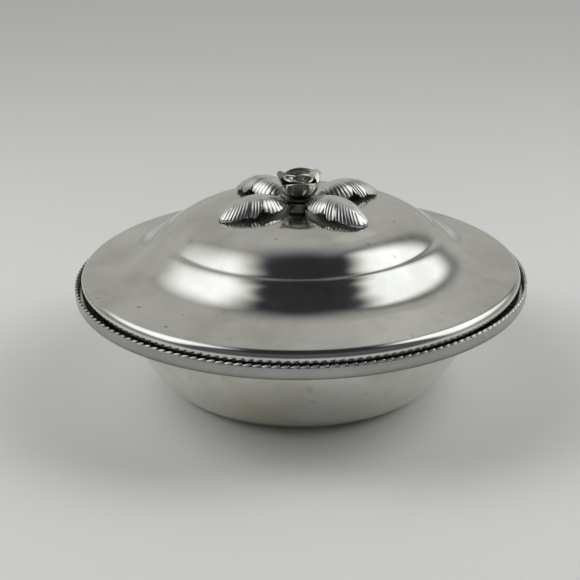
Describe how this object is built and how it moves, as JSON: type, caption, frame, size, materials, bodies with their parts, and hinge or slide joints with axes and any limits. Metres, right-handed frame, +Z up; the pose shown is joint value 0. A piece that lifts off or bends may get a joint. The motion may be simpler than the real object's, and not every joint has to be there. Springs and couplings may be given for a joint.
{
  "type": "covered serving bowl",
  "caption": "Spun aluminium serving bowl with a ledge and a notched upturned rim, and a stepped lift-off lid whose knob is a rose on arched leaves.",
  "frame": {"origin": "centre of the flat foot, on the table", "axes": "+Z up along the axis of the bowl and lid, -Y towards the side that the picture shows"},
  "size_m": [0.26, 0.26, 0.1243],
  "materials": {
    "bowl_aluminium": "satin",
    "lid_aluminium": "polished",
    "leaf_aluminium": "polished, with dull veins",
    "rose_aluminium": "polished",
    "screw_steel": "plain"
  },
  "bodies": {
    "bowl": {"bowl": "bowl_aluminium"},
    "lid": {"lid": "lid_aluminium", "screw_washer": "screw_steel", "finial_screw": "screw_steel", "leaf_pair_lower": "leaf_aluminium", "leaf_pair_upper": "leaf_aluminium", "calyx": "rose_aluminium", "petals_front_back": "rose_aluminium", "petals_sides": "rose_aluminium", "petals_inner": "rose_aluminium", "rose_bud": "rose_aluminium"}
  },
  "joints": [
    {"name": "lid_lift", "type": "slide", "parent": "bowl", "child": "lid", "axis": [0, 0, 1], "range_m": [0, 0.12]}
  ]
}
